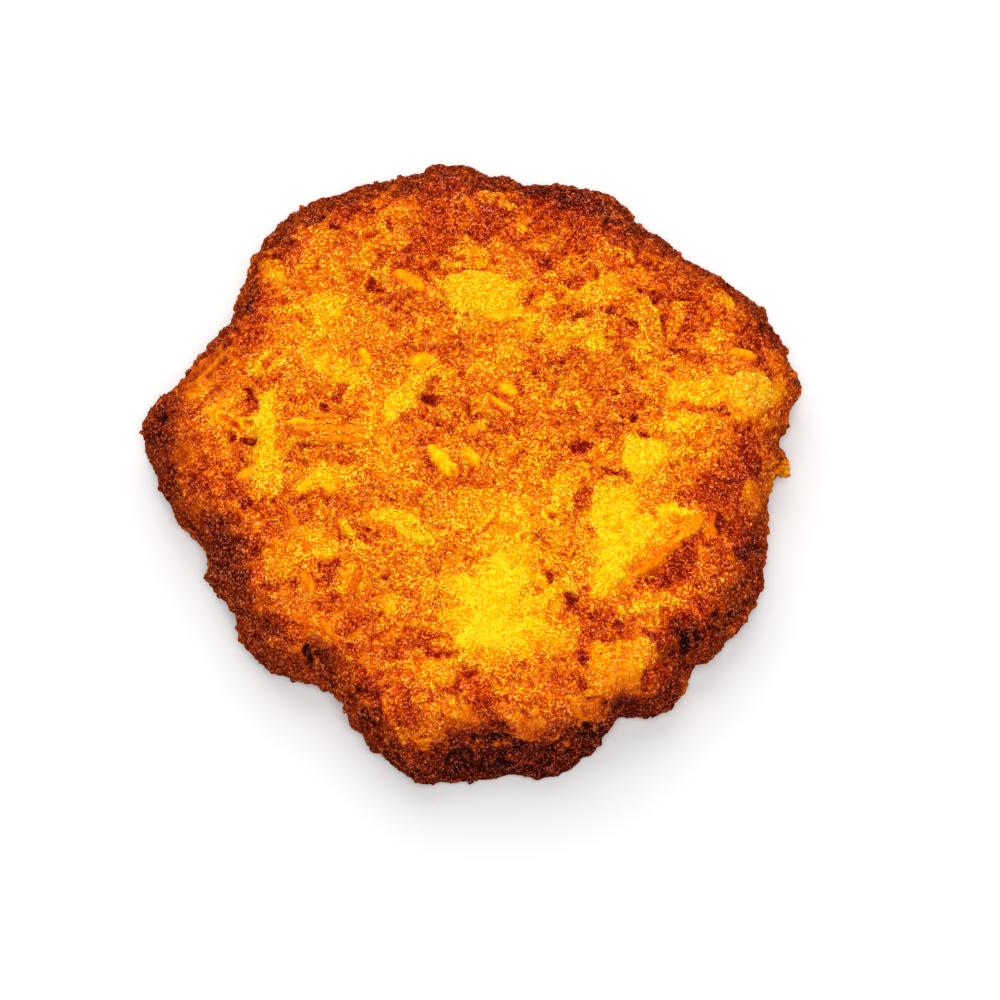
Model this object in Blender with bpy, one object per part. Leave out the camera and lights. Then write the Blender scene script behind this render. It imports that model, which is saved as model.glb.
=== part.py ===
"""Potato rosti: a fried cake of coarsely grated potato, one solid piece of food.

The cake is a cube primitive, subdivided and moulded: its top and bottom become the two
faces of the cake, its four sides the wall. The outline is a ring of a few radii, the
cross-section is a rounded profile, and lumps of potato, pressed slabs, pits and
crevices are then raised or sunk along the surface normals.

Sizes are in millimetres and the finished mesh is scaled to metres. +Z is up, the cake
lies on the plane z = 0, and the origin is under the middle of its bounding box.
"""

import math

import bmesh
import bpy
from mathutils import Vector, noise

MM = 0.001

# The cake as a whole.
HEIGHT = 14.0  # of the fried top face, before its lumps
WIDEST_AT = 4.5  # height of the widest line of the wall
SHOULDER_POWER = 15.0  # a higher power gives a flatter top and a tighter shoulder
SHOULDER_ROUND = 1.9
CAP_SHARE = 0.93  # share of the radius that the top grid covers, the wall takes the rest
BASE_SHARE = 0.95  # share of the radius that lies on the pan
SAG = 0.8  # the top sinks by this much towards the wall

# The mesh: cells along each side of the two faces, and rows down the wall.
FACE_CELLS = 44
WALL_ROWS = 6
ROWS_ABOVE_WIDEST = 4
ON_FACE = 0.999  # cube points higher than this are on the top face, lower than its minus on the base

# Outline: (direction in degrees, distance from the middle), 0 along +X and 90 along +Y.
RIM = [
    (0, 46.2),
    (8, 49.1),
    (14, 51.2),
    (24, 51.0),
    (36, 49.0),
    (46, 46.8),
    (56, 46.9),
    (63, 48.4),
    (76, 47.6),
    (86, 46.6),
    (91, 48.9),
    (104, 48.3),
    (120, 49.6),
    (131, 48.6),
    (148, 44.3),
    (162, 45.8),
    (175, 50.2),
    (183, 48.0),
    (191, 45.8),
    (199, 42.4),
    (211, 43.2),
    (227, 43.8),
    (239, 41.8),
    (250, 46.0),
    (258, 48.8),
    (274, 49.3),
    (288, 49.4),
    (299, 46.2),
    (306, 47.8),
    (317, 46.9),
    (329, 47.2),
    (338, 47.1),
    (348, 45.0),
]

# Rounded lumps of potato under the top crust: (x, y, radius, rise).
LUMPS = [
    (21.0, -36.5, 6.5, 1.6),
    (-5.5, -41.0, 6.5, 1.5),
    (11.0, -40.5, 9.0, 1.3),
    (27.0, 20.0, 5.0, 0.7),
    (26.0, -3.0, 6.5, 0.9),
    (41.0, 8.0, 6.0, 1.2),
    (3.0, -25.0, 11.0, 0.6),
    (-23.0, -18.0, 8.0, 0.8),
    (0.0, -12.0, 6.5, 0.8),
    (-18.0, 14.0, 9.0, 0.6),
    (-37.0, 17.5, 5.0, 1.4),
    (-3.0, 42.0, 5.5, 1.6),
    (-45.0, 2.0, 5.0, 1.0),
    (20.0, 36.0, 8.0, 0.8),
    (-30.0, 34.0, 6.0, 0.8),
    (38.0, -20.0, 8.0, 0.8),
    (-34.0, -23.0, 7.0, 0.9),
]

# Flat strips pressed into the top: (x, y, length, width, turn in degrees, rise).
# A higher power gives a flatter top and a steeper edge.
STRIP_END_POWER = 6
STRIP_SIDE_POWER = 4
STRIPS = [
    (1.5, 24.0, 13.0, 7.0, 0.0, 0.8),
    (-30.5, 0.0, 19.0, 5.5, 84.0, 0.7),
    (27.0, -15.0, 22.0, 5.0, 33.0, 0.8),
    (13.5, -9.0, 12.0, 5.0, 52.0, 0.7),
    (-17.5, -16.0, 14.0, 4.0, -63.0, 0.8),
    (-21.0, 1.5, 16.0, 4.0, 2.0, 0.6),
    (13.0, 19.0, 14.0, 4.5, 22.0, 0.7),
    (-36.0, -12.0, 16.0, 4.5, -48.0, 0.6),
    (32.0, 1.5, 13.0, 5.0, 8.0, 0.7),
    (-12.0, 26.0, 12.0, 4.0, -38.0, 0.6),
]

# Hollows in the top: (x, y, radius, depth).
PITS = [
    (-5.5, 7.0, 3.0, 1.1),
    (-34.0, 1.0, 3.0, 1.0),
    (30.5, -32.5, 3.5, 2.6),
    (23.0, -42.5, 2.8, 1.8),
    (-24.0, -32.0, 4.0, 1.2),
    (28.0, -20.5, 4.0, 1.0),
    (-20.0, 8.0, 3.5, 0.8),
    (12.0, -19.0, 3.0, 0.8),
    (17.0, 37.0, 3.5, 0.9),
    (-14.0, 23.5, 3.5, 0.7),
    (40.0, -4.0, 4.5, 0.9),
    (-1.0, -36.0, 4.5, 0.7),
]

# Knobs on the wall: (direction in degrees, height, radius, push outwards).
KNOBS = [
    (359.0, 6.5, 3.4, 2.4),
    (92.0, 9.0, 4.0, 0.8),
    (174.0, 6.0, 6.0, 0.9),
    (224.0, 3.5, 4.5, 0.9),
    (262.0, 3.5, 6.0, 0.8),
    (285.0, 2.5, 5.0, 0.6),
    (306.0, 5.0, 4.0, 0.8),
    (328.0, 6.0, 6.0, 0.6),
    (206.0, 5.0, 5.0, 1.0),
    (40.0, 6.0, 6.0, 0.9),
    (120.0, 6.0, 5.5, 0.6),
    (66.0, 4.0, 6.0, 0.6),
]

# Crevices in the wall: (direction in degrees, height, half width, half height, depth).
CREVICES = [
    (268.0, 7.5, 2.2, 5.0, 3.0),
    (278.0, 8.5, 6.0, 2.6, 2.2),
    (290.0, 7.0, 4.0, 2.8, 2.2),
    (313.0, 8.0, 2.4, 6.0, 2.6),
    (298.5, 7.0, 2.2, 5.0, 1.6),
    (241.0, 6.0, 4.0, 3.0, 1.2),
    (196.0, 6.0, 2.6, 4.0, 1.4),
    (149.0, 6.0, 3.0, 5.0, 1.2),
    (50.0, 6.0, 3.5, 3.0, 1.1),
    (10.0, 5.0, 3.0, 4.0, 1.1),
]

# Uneven crust: noise wavelength, octaves and height on the faces and on the wall.
FACE_WAVE = 13.0
FACE_OCTAVES = 3
FACE_UNEVEN = 0.55
WALL_WAVE = 6.5
WALL_OCTAVES = 2
WALL_UNEVEN = 1.0
BASE_WAVE = 7.0
BASE_OCTAVES = 2
OCTAVE_FADE = 1.0  # how fast the finer octaves weaken
OCTAVE_STEP = 2.0  # how much finer each octave is than the one before
BASE_PITS = 2.2  # how deep the gaps in the base go for one unit of noise
BASE_PIT_START = 0.12  # noise below this leaves the base flat on the pan
REST_SPOT = 9.0  # radius of the middle of the base that stays flat

CRUST_COLOR = (0.72, 0.25, 0.035, 1.0)
CRUST_ROUGHNESS = 0.62


def clear_scene():
    for thing in list(bpy.data.objects):
        bpy.data.objects.remove(thing)


def rim_radius(angle):
    """Distance from the middle to the outline, a smooth curve through RIM."""
    turn = math.degrees(angle) % 360.0
    count = len(RIM)
    after = next((i for i, (at, _) in enumerate(RIM) if at > turn), 0)
    knots = []
    for step in (-2, -1, 0, 1):
        lap, place = divmod(after + step, count)
        at, radius = RIM[place]
        knots.append((at + 360.0 * lap, radius))
    if turn > knots[2][0]:
        turn -= 360.0
    (a0, r0), (a1, r1), (a2, r2), (a3, r3) = knots
    span = a2 - a1
    slope1 = (r2 - r0) / (a2 - a0) * span
    slope2 = (r3 - r1) / (a3 - a1) * span
    t = (turn - a1) / span
    return (
        r1 * (2 * t**3 - 3 * t**2 + 1)
        + slope1 * (t**3 - 2 * t**2 + t)
        + r2 * (3 * t**2 - 2 * t**3)
        + slope2 * (t**3 - t**2)
    )


def square_to_turn(a, b):
    """The direction that a point of the square grid takes on the round cake."""
    if a == 0 and b == 0:
        return 0.0
    if abs(a) >= abs(b):
        return math.pi / 4 * b / a + (math.pi if a < 0 else 0.0)
    return math.pi / 2 - math.pi / 4 * a / b + (math.pi if b < 0 else 0.0)


def top_height(share):
    """Height of the cross-section at this share of the radius, from the middle out."""
    drop = (1.0 - share**SHOULDER_POWER) ** (1.0 / SHOULDER_ROUND)
    return WIDEST_AT + (HEIGHT - WIDEST_AT) * drop - SAG * share**2 * drop


def wall_section(walk):
    """(share of the radius, height) down the wall, from 0 at the shoulder to 1 at the base."""
    turning = ROWS_ABOVE_WIDEST / WALL_ROWS
    if walk <= turning:
        start = math.acos(CAP_SHARE ** (SHOULDER_POWER / 2))
        share = math.cos(start * (1.0 - walk / turning)) ** (2.0 / SHOULDER_POWER)
        return share, top_height(share)
    under = math.pi / 2 * (walk - turning) / (1.0 - turning)
    share = BASE_SHARE + (1.0 - BASE_SHARE) * math.cos(under)
    return share, WIDEST_AT * (1.0 - math.sin(under))


def mould(cube_point):
    """Where a point of the cube's surface, from -1 to 1, lies on the smooth cake."""
    a, b, c = cube_point
    ring = max(abs(a), abs(b))
    angle = square_to_turn(a, b)
    if c > ON_FACE:
        share = ring * CAP_SHARE
        height = top_height(share)
    elif c < -ON_FACE:
        share = ring * BASE_SHARE
        height = 0.0
    else:
        share, height = wall_section((1.0 - c) / 2.0)
    radius = share * rim_radius(angle)
    return Vector((radius * math.cos(angle), radius * math.sin(angle), height))


def bump(distance):
    """A soft hill: 1 in the middle, 0 from a distance of 1 outwards."""
    inside = max(0.0, 1.0 - distance * distance)
    return inside * inside


def uneven(point, wave, octaves):
    """Fractal noise for crust, about -1 to 1."""
    return noise.fractal(point / wave, OCTAVE_FADE, OCTAVE_STEP, octaves)


def strip_rise(point, strip):
    """A flat-topped strip with soft edges."""
    x, y, length, width, turn, rise = strip
    along = Vector((math.cos(math.radians(turn)), math.sin(math.radians(turn))))
    offset = Vector((point.x - x, point.y - y))
    down_length = abs(offset.dot(along)) / (length / 2)
    across = abs(offset.cross(along)) / (width / 2)
    ends = max(0.0, 1.0 - down_length**STRIP_END_POWER)
    sides = max(0.0, 1.0 - across**STRIP_SIDE_POWER)
    return rise * ends * sides


def top_relief(point):
    """Rise of the top crust at this point, from its lumps, strips, pits and unevenness."""
    rise = FACE_UNEVEN * uneven(point, FACE_WAVE, FACE_OCTAVES)
    for x, y, radius, up in LUMPS:
        rise += up * bump(math.hypot(point.x - x, point.y - y) / radius)
    rise += max(strip_rise(point, strip) for strip in STRIPS)
    for x, y, radius, down in PITS:
        rise -= down * bump(math.hypot(point.x - x, point.y - y) / radius)
    return rise


def wall_relief(point):
    """Push outwards of the wall at this point, from its knobs, crevices and ragged crust."""
    angle = math.atan2(point.y, point.x)
    push = WALL_UNEVEN * uneven(point, WALL_WAVE, WALL_OCTAVES)
    for direction, height, radius, out in KNOBS:
        across = rim_radius(angle) * turn_between(angle, direction)
        push += out * bump(math.hypot(across, point.z - height) / radius)
    for direction, height, half_width, half_height, depth in CREVICES:
        across = rim_radius(angle) * turn_between(angle, direction)
        spread = math.hypot(across / half_width, (point.z - height) / half_height)
        push -= depth * bump(spread)
    return push


def turn_between(angle, degrees):
    """Angle from a direction in degrees to this one, the short way round, in radians."""
    return math.remainder(angle - math.radians(degrees), 2.0 * math.pi)


def base_gap(point):
    """How far the underside is lifted off the pan at this point."""
    hollow = uneven(point, BASE_WAVE, BASE_OCTAVES) - BASE_PIT_START
    reach = min(1.0, max(0.0, math.hypot(point.x, point.y) / REST_SPOT - 1.0))
    return BASE_PITS * reach * max(0.0, hollow)


def moulded_cake():
    """The cake as a bmesh, in millimetres."""
    bm = bmesh.new()
    bmesh.ops.create_cube(bm, size=2.0)

    def upright(edge):
        return abs(edge.verts[0].co.z - edge.verts[1].co.z) > 1.0

    level_edges = [edge for edge in bm.edges if not upright(edge)]
    bmesh.ops.subdivide_edges(bm, edges=level_edges, cuts=FACE_CELLS - 1, use_grid_fill=True)
    upright_edges = [edge for edge in bm.edges if upright(edge)]
    bmesh.ops.subdivide_edges(bm, edges=upright_edges, cuts=WALL_ROWS - 1)

    cells = [vert.co.z for vert in bm.verts]
    for vert in bm.verts:
        vert.co = mould(vert.co)
    bm.normal_update()

    moved = []
    for vert, cell in zip(bm.verts, cells):
        point, normal = vert.co, vert.normal
        if cell < -ON_FACE:
            moved.append(point + Vector((0.0, 0.0, base_gap(point))))
            continue
        facing_up = max(0.0, normal.z) ** 2
        push = facing_up * top_relief(point) + (1.0 - facing_up) * wall_relief(point)
        moved.append(point + normal * push)
    for vert, place in zip(bm.verts, moved):
        vert.co = (place.x, place.y, max(0.0, place.z))
    return bm


def centre_over_origin(bm):
    """Slides the cake so that the middle of its bounding box is over the origin."""
    xs = [vert.co.x for vert in bm.verts]
    ys = [vert.co.y for vert in bm.verts]
    middle = Vector(((min(xs) + max(xs)) / 2, (min(ys) + max(ys)) / 2, 0.0))
    bmesh.ops.translate(bm, verts=bm.verts, vec=-middle)


def crust_material():
    material = bpy.data.materials.new("fried_potato_crust")
    material.use_nodes = True
    shader = material.node_tree.nodes["Principled BSDF"]
    shader.inputs["Base Color"].default_value = CRUST_COLOR
    shader.inputs["Roughness"].default_value = CRUST_ROUGHNESS
    shader.inputs["Metallic"].default_value = 0.0
    return material


def build_rosti():
    bm = moulded_cake()
    centre_over_origin(bm)
    bmesh.ops.scale(bm, verts=bm.verts, vec=(MM, MM, MM))
    bmesh.ops.recalc_face_normals(bm, faces=bm.faces)
    mesh = bpy.data.meshes.new("rosti")
    bm.to_mesh(mesh)
    bm.free()
    mesh.shade_smooth()
    mesh.materials.append(crust_material())
    rosti = bpy.data.objects.new("rosti", mesh)
    parts = bpy.data.collections.new("potato_rosti")
    bpy.context.scene.collection.children.link(parts)
    parts.objects.link(rosti)
    return rosti


clear_scene()
build_rosti()
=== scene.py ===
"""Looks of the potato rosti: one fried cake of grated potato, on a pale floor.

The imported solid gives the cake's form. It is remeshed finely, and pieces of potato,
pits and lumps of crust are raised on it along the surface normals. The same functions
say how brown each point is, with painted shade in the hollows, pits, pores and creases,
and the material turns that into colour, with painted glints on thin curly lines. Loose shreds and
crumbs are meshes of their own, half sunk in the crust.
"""

import math
import random

import bmesh
import bpy
import numpy as np
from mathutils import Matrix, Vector, kdtree, noise


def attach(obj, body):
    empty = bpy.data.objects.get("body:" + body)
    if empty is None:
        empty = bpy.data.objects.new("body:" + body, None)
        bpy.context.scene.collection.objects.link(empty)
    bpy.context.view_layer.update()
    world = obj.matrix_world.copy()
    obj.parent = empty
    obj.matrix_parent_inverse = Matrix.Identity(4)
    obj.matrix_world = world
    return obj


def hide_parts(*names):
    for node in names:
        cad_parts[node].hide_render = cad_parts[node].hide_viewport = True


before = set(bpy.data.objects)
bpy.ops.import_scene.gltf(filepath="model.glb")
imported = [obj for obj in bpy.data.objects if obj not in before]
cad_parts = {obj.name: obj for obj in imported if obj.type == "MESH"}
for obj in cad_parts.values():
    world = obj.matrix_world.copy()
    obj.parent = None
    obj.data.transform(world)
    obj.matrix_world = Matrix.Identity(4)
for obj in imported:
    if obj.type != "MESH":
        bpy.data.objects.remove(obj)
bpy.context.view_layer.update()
MM = 0.001

# ------------------------------------------------------------------ shader nodes
# Noise patterns of the crust: (repeats for each millimetre, detail, roughness)
NOISES = {
    "fine": (4.2, 2, 0.7),
    "patchy": (0.9, 3, 0.65),
    "creases": (1.05, 2, 0.65),
    "contours": (1.35, 2, 0.5),
    "peaks": (2.2, 2, 0.6),
    "crumbly": (0.40, 3, 0.6),
    "wander": (0.55, 3, 0.6),
    "patches": (0.26, 6, 0.62),
}


def put(node, **values):
    """Sets inputs of the node. Their names have _ here for each space."""
    for name, value in values.items():
        node.inputs[name.replace("_", " ")].default_value = value


class Nodes:
    """Adds nodes to a tree and links them."""

    def __init__(self, owner):
        owner.use_nodes = True
        self.tree = owner.node_tree

    def add(self, kind, **settings):
        node = self.tree.nodes.new(kind)
        for name, value in settings.items():
            setattr(node, name, value)
        return node

    def link(self, source, target):
        self.tree.links.new(source, target)

    def math(self, operation, first, second=0.0, third=0.0):
        node = self.add("ShaderNodeMath", operation=operation)
        for socket, value in zip(node.inputs, (first, second, third)):
            if isinstance(value, (int, float)):
                socket.default_value = value
            else:
                self.link(value, socket)
        return node.outputs[0]

    def times(self, value, by, plus=0.0):
        """value * by + plus"""
        return self.math("MULTIPLY_ADD", value, by, plus)

    def one_less(self, value):
        return self.math("SUBTRACT", 1.0, value)

    def less_half(self, value):
        return self.math("SUBTRACT", value, 0.5)

    def noise(self, coordinates, pattern, output="Fac"):
        per_mm, detail, roughness = NOISES[pattern]
        node = self.add("ShaderNodeTexNoise")
        put(node, Scale=per_mm / MM, Detail=detail, Roughness=roughness)
        self.link(coordinates, node.inputs["Vector"])
        return node.outputs[output]

    def ridge(self, value):
        """0 along the wandering lines where the noise crosses its middle."""
        return self.math("ABSOLUTE", self.times(value, 2.0, -1.0))

    def smooth_range(self, value, low, high):
        node = self.add("ShaderNodeMapRange", interpolation_type="SMOOTHSTEP")
        put(node, From_Min=low, From_Max=high)
        self.link(value, node.inputs["Value"])
        return node.outputs["Result"]

    def feed(self, node, numbers, sources):
        """Links each source to the input of the node that has its number."""
        for number, source in zip(numbers, sources):
            self.link(source, node.inputs[number])

    def ramp(self, value, colors):
        node = self.add("ShaderNodeValToRGB")
        stops = node.color_ramp.elements
        while len(stops) < len(colors):
            stops.new(0.5)
        for stop, (at, red, green, blue) in zip(stops, colors):
            stop.position = at
            stop.color = (red, green, blue, 1)
        self.link(value, node.inputs["Fac"])
        return node.outputs["Color"]

    def attribute(self, name):
        return self.add("ShaderNodeAttribute", attribute_name=name).outputs["Fac"]


# ------------------------------------------------------------------ camera and light
LENS_MM = 100.0
CAMERA_DISTANCE = 416 * MM
CAMERA_HEIGHT_DEG = 70.0
CAMERA_TARGET = Vector((4.4 * MM, -7.0 * MM, 8.0 * MM))
CLIP_START = 10 * MM
FLOOR_SIZE = 4.0
FLOOR_GREY = 0.80
FADE_START = 0.25  # metres from the middle where the floor starts to turn white
FADE_END = 0.60
# Lamps: (name, place, size, power, colour)
LAMPS = [
    ("key", (-0.08, 0.52, 0.64), 0.90, 4.6, (1.0, 0.99, 0.97)),
    ("top", (0.03, -0.28, 0.85), 0.45, 5.2, (1.0, 1.0, 1.0)),
]
WHITE = (1, 1, 1, 1)
FILL_STRENGTH = 0.36


def stand(name, data, place, facing):
    """Stands a camera or a lamp at a place, facing this way."""
    thing = bpy.data.objects.new(name, data)
    thing.location = place
    thing.rotation_euler = facing.to_track_quat("-Z", "Y").to_euler()
    bpy.context.scene.collection.objects.link(thing)
    return thing


def add_camera():
    tilt = math.radians(CAMERA_HEIGHT_DEG)
    back = Vector((0.0, -math.cos(tilt), math.sin(tilt)))
    data = bpy.data.cameras.new("camera")
    data.lens = LENS_MM
    data.clip_start = CLIP_START
    bpy.context.scene.camera = stand("camera", data, CAMERA_TARGET + back * CAMERA_DISTANCE, -back)


def add_lamp(name, place, size, power, color):
    data = bpy.data.lights.new(name, "AREA")
    data.shape = "DISK"
    data.size = size
    data.energy = power
    data.color = color
    stand(name, data, place, -Vector(place))


def add_world():
    """A white backdrop for the camera, and a weaker even fill for the object."""
    world = bpy.data.worlds.new("studio")
    n = Nodes(world)
    n.tree.nodes.clear()
    seen = n.add("ShaderNodeBackground")
    put(seen, Color=WHITE)
    fill = n.add("ShaderNodeBackground")
    put(fill, Color=WHITE, Strength=FILL_STRENGTH)
    to_camera = n.add("ShaderNodeLightPath").outputs["Is Camera Ray"]
    mix = n.add("ShaderNodeMixShader")
    n.feed(mix, (0, 1, 2), (to_camera, fill.outputs[0], seen.outputs[0]))
    n.link(mix.outputs[0], n.add("ShaderNodeOutputWorld").inputs["Surface"])
    bpy.context.scene.world = world


def fade_to_white(n, shader):
    """The floor turns into the white backdrop well away from the cake."""
    length = n.add("ShaderNodeVectorMath", operation="LENGTH")
    n.link(n.add("ShaderNodeTexCoord").outputs["Object"], length.inputs[0])
    fade = n.add("ShaderNodeMapRange")
    put(fade, From_Min=FADE_START, From_Max=FADE_END)
    n.link(length.outputs["Value"], fade.inputs["Value"])
    white = n.add("ShaderNodeEmission")
    mix = n.add("ShaderNodeMixShader")
    n.feed(mix, (0, 1, 2), (fade.outputs["Result"], shader.outputs[0], white.outputs[0]))
    n.link(mix.outputs[0], n.tree.nodes["Material Output"].inputs["Surface"])


def add_floor():
    bpy.ops.mesh.primitive_plane_add(size=FLOOR_SIZE, location=(0, 0, 0))
    floor = bpy.context.object
    floor.name = "floor"
    material = bpy.data.materials.new("pale_floor")
    n = Nodes(material)
    shader = n.tree.nodes["Principled BSDF"]
    grey = (FLOOR_GREY, FLOOR_GREY, FLOOR_GREY, 1)
    put(shader, Base_Color=grey, Roughness=0.9, Specular_IOR_Level=0.1)
    fade_to_white(n, shader)
    floor.data.materials.append(material)


def set_studio():
    bpy.context.scene.view_settings.view_transform = "Standard"
    bpy.context.scene.view_settings.look = "None"
    add_camera()
    add_floor()
    for lamp in LAMPS:
        add_lamp(*lamp)
    add_world()


# ------------------------------------------------------------------ landmarks
# Places are millimetres from the middle, as one looks down on the cake: x to the
# right, y away. Tones are percents added to the browning: those below 0 make it paler.

# Strips of potato: (x, y, length, width, turn in degrees, rise, tone)
STRIPS = [
    (2.2, 24.2, 12.5, 6.8, -8, 0.45, -26), (-30.6, 2.2, 10.5, 3.8, -82, 0.4, -26),
    (-30.6, -5, 8, 4.2, 88, 0.4, -22), (-22, 3.4, 10.5, 1.4, -2, 0.45, 4),
    (-19.5, 1.2, 14, 1.5, 1, 0.45, 4), (13.8, 8, 5.6, 1.5, 84, 0.5, -14),
    (9.8, 21.5, 7, 2.8, 38, 0.4, -12), (14.5, 18.4, 7.5, 2.4, 8, 0.4, -14),
    (-17, -15.6, 9, 2.2, -63, 0.45, -14), (-9.5, -13.2, 9.5, 3.2, -24, 0.4, -20),
    (12.8, -8.8, 9, 2.7, 66, 0.45, -12), (20, -21.6, 7, 3, 52, 0.4, -18),
    (11, -23.6, 8, 2.6, 38, 0.35, -12), (28, -24.6, 8, 2.8, 8, 0.4, -14),
    (31.2, 2.8, 9, 2.8, 6, 0.4, -20), (-27.5, -8.2, 8, 2, 30, 0.3, -6),
    (3.6, 40.3, 6.2, 2.2, -4, 0.4, -20), (7, -13, 8, 2.2, 70, 0.35, -8),
    (7.4, -17.2, 6.5, 1.2, -38, 0.4, 10), (-13.5, 32.2, 6, 1.2, -24, 0.35, 0),
    (-19, 32.6, 5.5, 1.3, -10, 0.35, -2), (-38.5, -3, 12, 2, -72, 0.3, -4),
    (23.5, 31.6, 4.5, 1.5, -8, 0.35, -8), (25.2, 15.4, 3.6, 1.6, 12, 0.4, -14),
    (11.5, 32.6, 6, 1.8, 4, 0.3, -4), (-24, 9.2, 6.4, 3.2, -4, 0.35, -4),
]
# Sleek wedges of potato: (x, y, length, width, turn, rise, browning)
WEDGES = [
    (-9.1, 26.5, 6, 2.2, -34, 0.45, 36), (-15.7, 13.6, 3.4, 1.9, -60, 0.4, 22),
    (-7.6, 13.3, 4.2, 2.4, 18, 0.4, 26), (-4.1, -3.1, 6.6, 2.6, -52, 0.5, 23),
    (0, -2.3, 3.8, 1.9, -45, 0.4, 28), (4.4, 6.3, 4.2, 1.3, -36, 0.4, 30),
    (5.7, 8.7, 3.2, 2.3, -12, 0.4, 27), (-41.8, 12.6, 8, 1.4, 45, 0.3, 14),
    (-20.8, -28.4, 3.4, 1.4, -56, 0.3, 34), (-23.6, -22, 4, 1.3, -62, 0.3, 38),
    (-24.8, 3.1, 6.2, 1.1, -2, 0.4, 28), (-21, 1.9, 10.5, 1.1, -1, 0.35, 36),
    (-19, 0.5, 10, 1.1, 1, 0.3, 42), (31.6, -14.4, 8, 1.7, 38, 0.45, 32),
    (27, -18.6, 8, 1.6, 37, 0.45, 40), (35.8, -13.2, 4, 1.1, 84, 0.2, 48),
    (4.6, 21, 6.4, 2.6, 6, 0.3, 21), (-34.6, 3, 3, 1.7, 55, 0.3, 32),
    (-33.5, -4.9, 2.8, 1.8, 20, 0.3, 27), (41.1, 14.6, 4.8, 1.9, -10, 0.4, 31),
]
# Rounder pieces: (x, y, half length, half width, turn, rise, tone)
CHIPS = [
    (26.4, 20, 3.2, 2.4, 72, 0.45, -14), (25.3, -1.8, 3.6, 3.4, 0, 0.5, -26),
    (42.2, 8, 4.4, 2.7, 8, 0.45, -24), (33.3, 8.5, 4.8, 2.3, 4, 0.35, -22),
    (40.6, 12.4, 3.6, 2.6, -10, 0.3, -8), (-0.8, -11.4, 5.4, 3.4, 22, 0.4, -10),
    (-25, -16.6, 6.4, 5, -40, 0.4, -8), (22.4, -33.8, 4.2, 4, 0, 0.15, -4),
    (-4.6, -41.4, 4.6, 3.6, 10, 0.6, 2), (-4.8, -35.6, 3.8, 2, 8, 0.35, -10),
    (10.5, -41, 7, 3.6, 6, 0.5, -2), (3, -22.8, 7.6, 4, 12, 0.3, -28),
    (4.6, -29, 8.2, 3.3, -4, 0.3, -28), (-19.2, 11.6, 4.4, 2, -12, 0.35, -22),
    (-10, 7.6, 4.6, 2, 55, 0.35, -22), (-7.2, 12.6, 2.2, 2.4, 20, 0.35, -10),
    (-20.3, -4.6, 3.8, 2.2, -24, 0.35, -16), (-31, 28.4, 1.8, 2, 0, 0.5, -20),
    (-38.4, 4.2, 2.6, 3.2, 20, 0.35, -2), (20, 25.2, 3.8, 2.2, 14, 0.35, -12),
    (19.4, 16.6, 1.8, 1.5, 0, 0.4, -18), (17, 7, 1.8, 2, 0, 0.35, -12), (10.4, 8.6, 1.5, 2, 0, 0.35, -8),
    (5.4, 9, 1.9, 1.4, -20, 0.35, -4), (1.6, 6.2, 2, 1.5, 20, 0.35, -8),
    (21.4, -9.2, 3.4, 4.6, 0, 0.35, -24), (23.6, -15.2, 5.6, 3, 42, 0.45, -26),
    (18.6, -15.8, 2.4, 2, 20, 0.4, -22), (30.6, -10.7, 3.2, 1.3, -4, 0.4, -20),
    (36.6, 17.4, 2, 3.4, 0, 0.4, -14), (-11.2, 36, 3.2, 3.4, 0, 0.35, -10),
    (-18, 29.8, 4, 2.2, 20, 0.3, -10), (-22, 21.6, 2.8, 3.8, 10, 0.3, -20),
    (-7, -23, 1.5, 1.3, 0, 0.45, -16), (9.6, -35.6, 3, 1.4, 0, 0.35, -2),
    (41.8, -6.6, 2.4, 3.4, 10, 0.4, 2), (35.2, -17.8, 2, 3.6, -20, 0.35, -6),
    (38.4, 24.4, 2.2, 1.5, -30, 0.4, -12),
]
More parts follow.
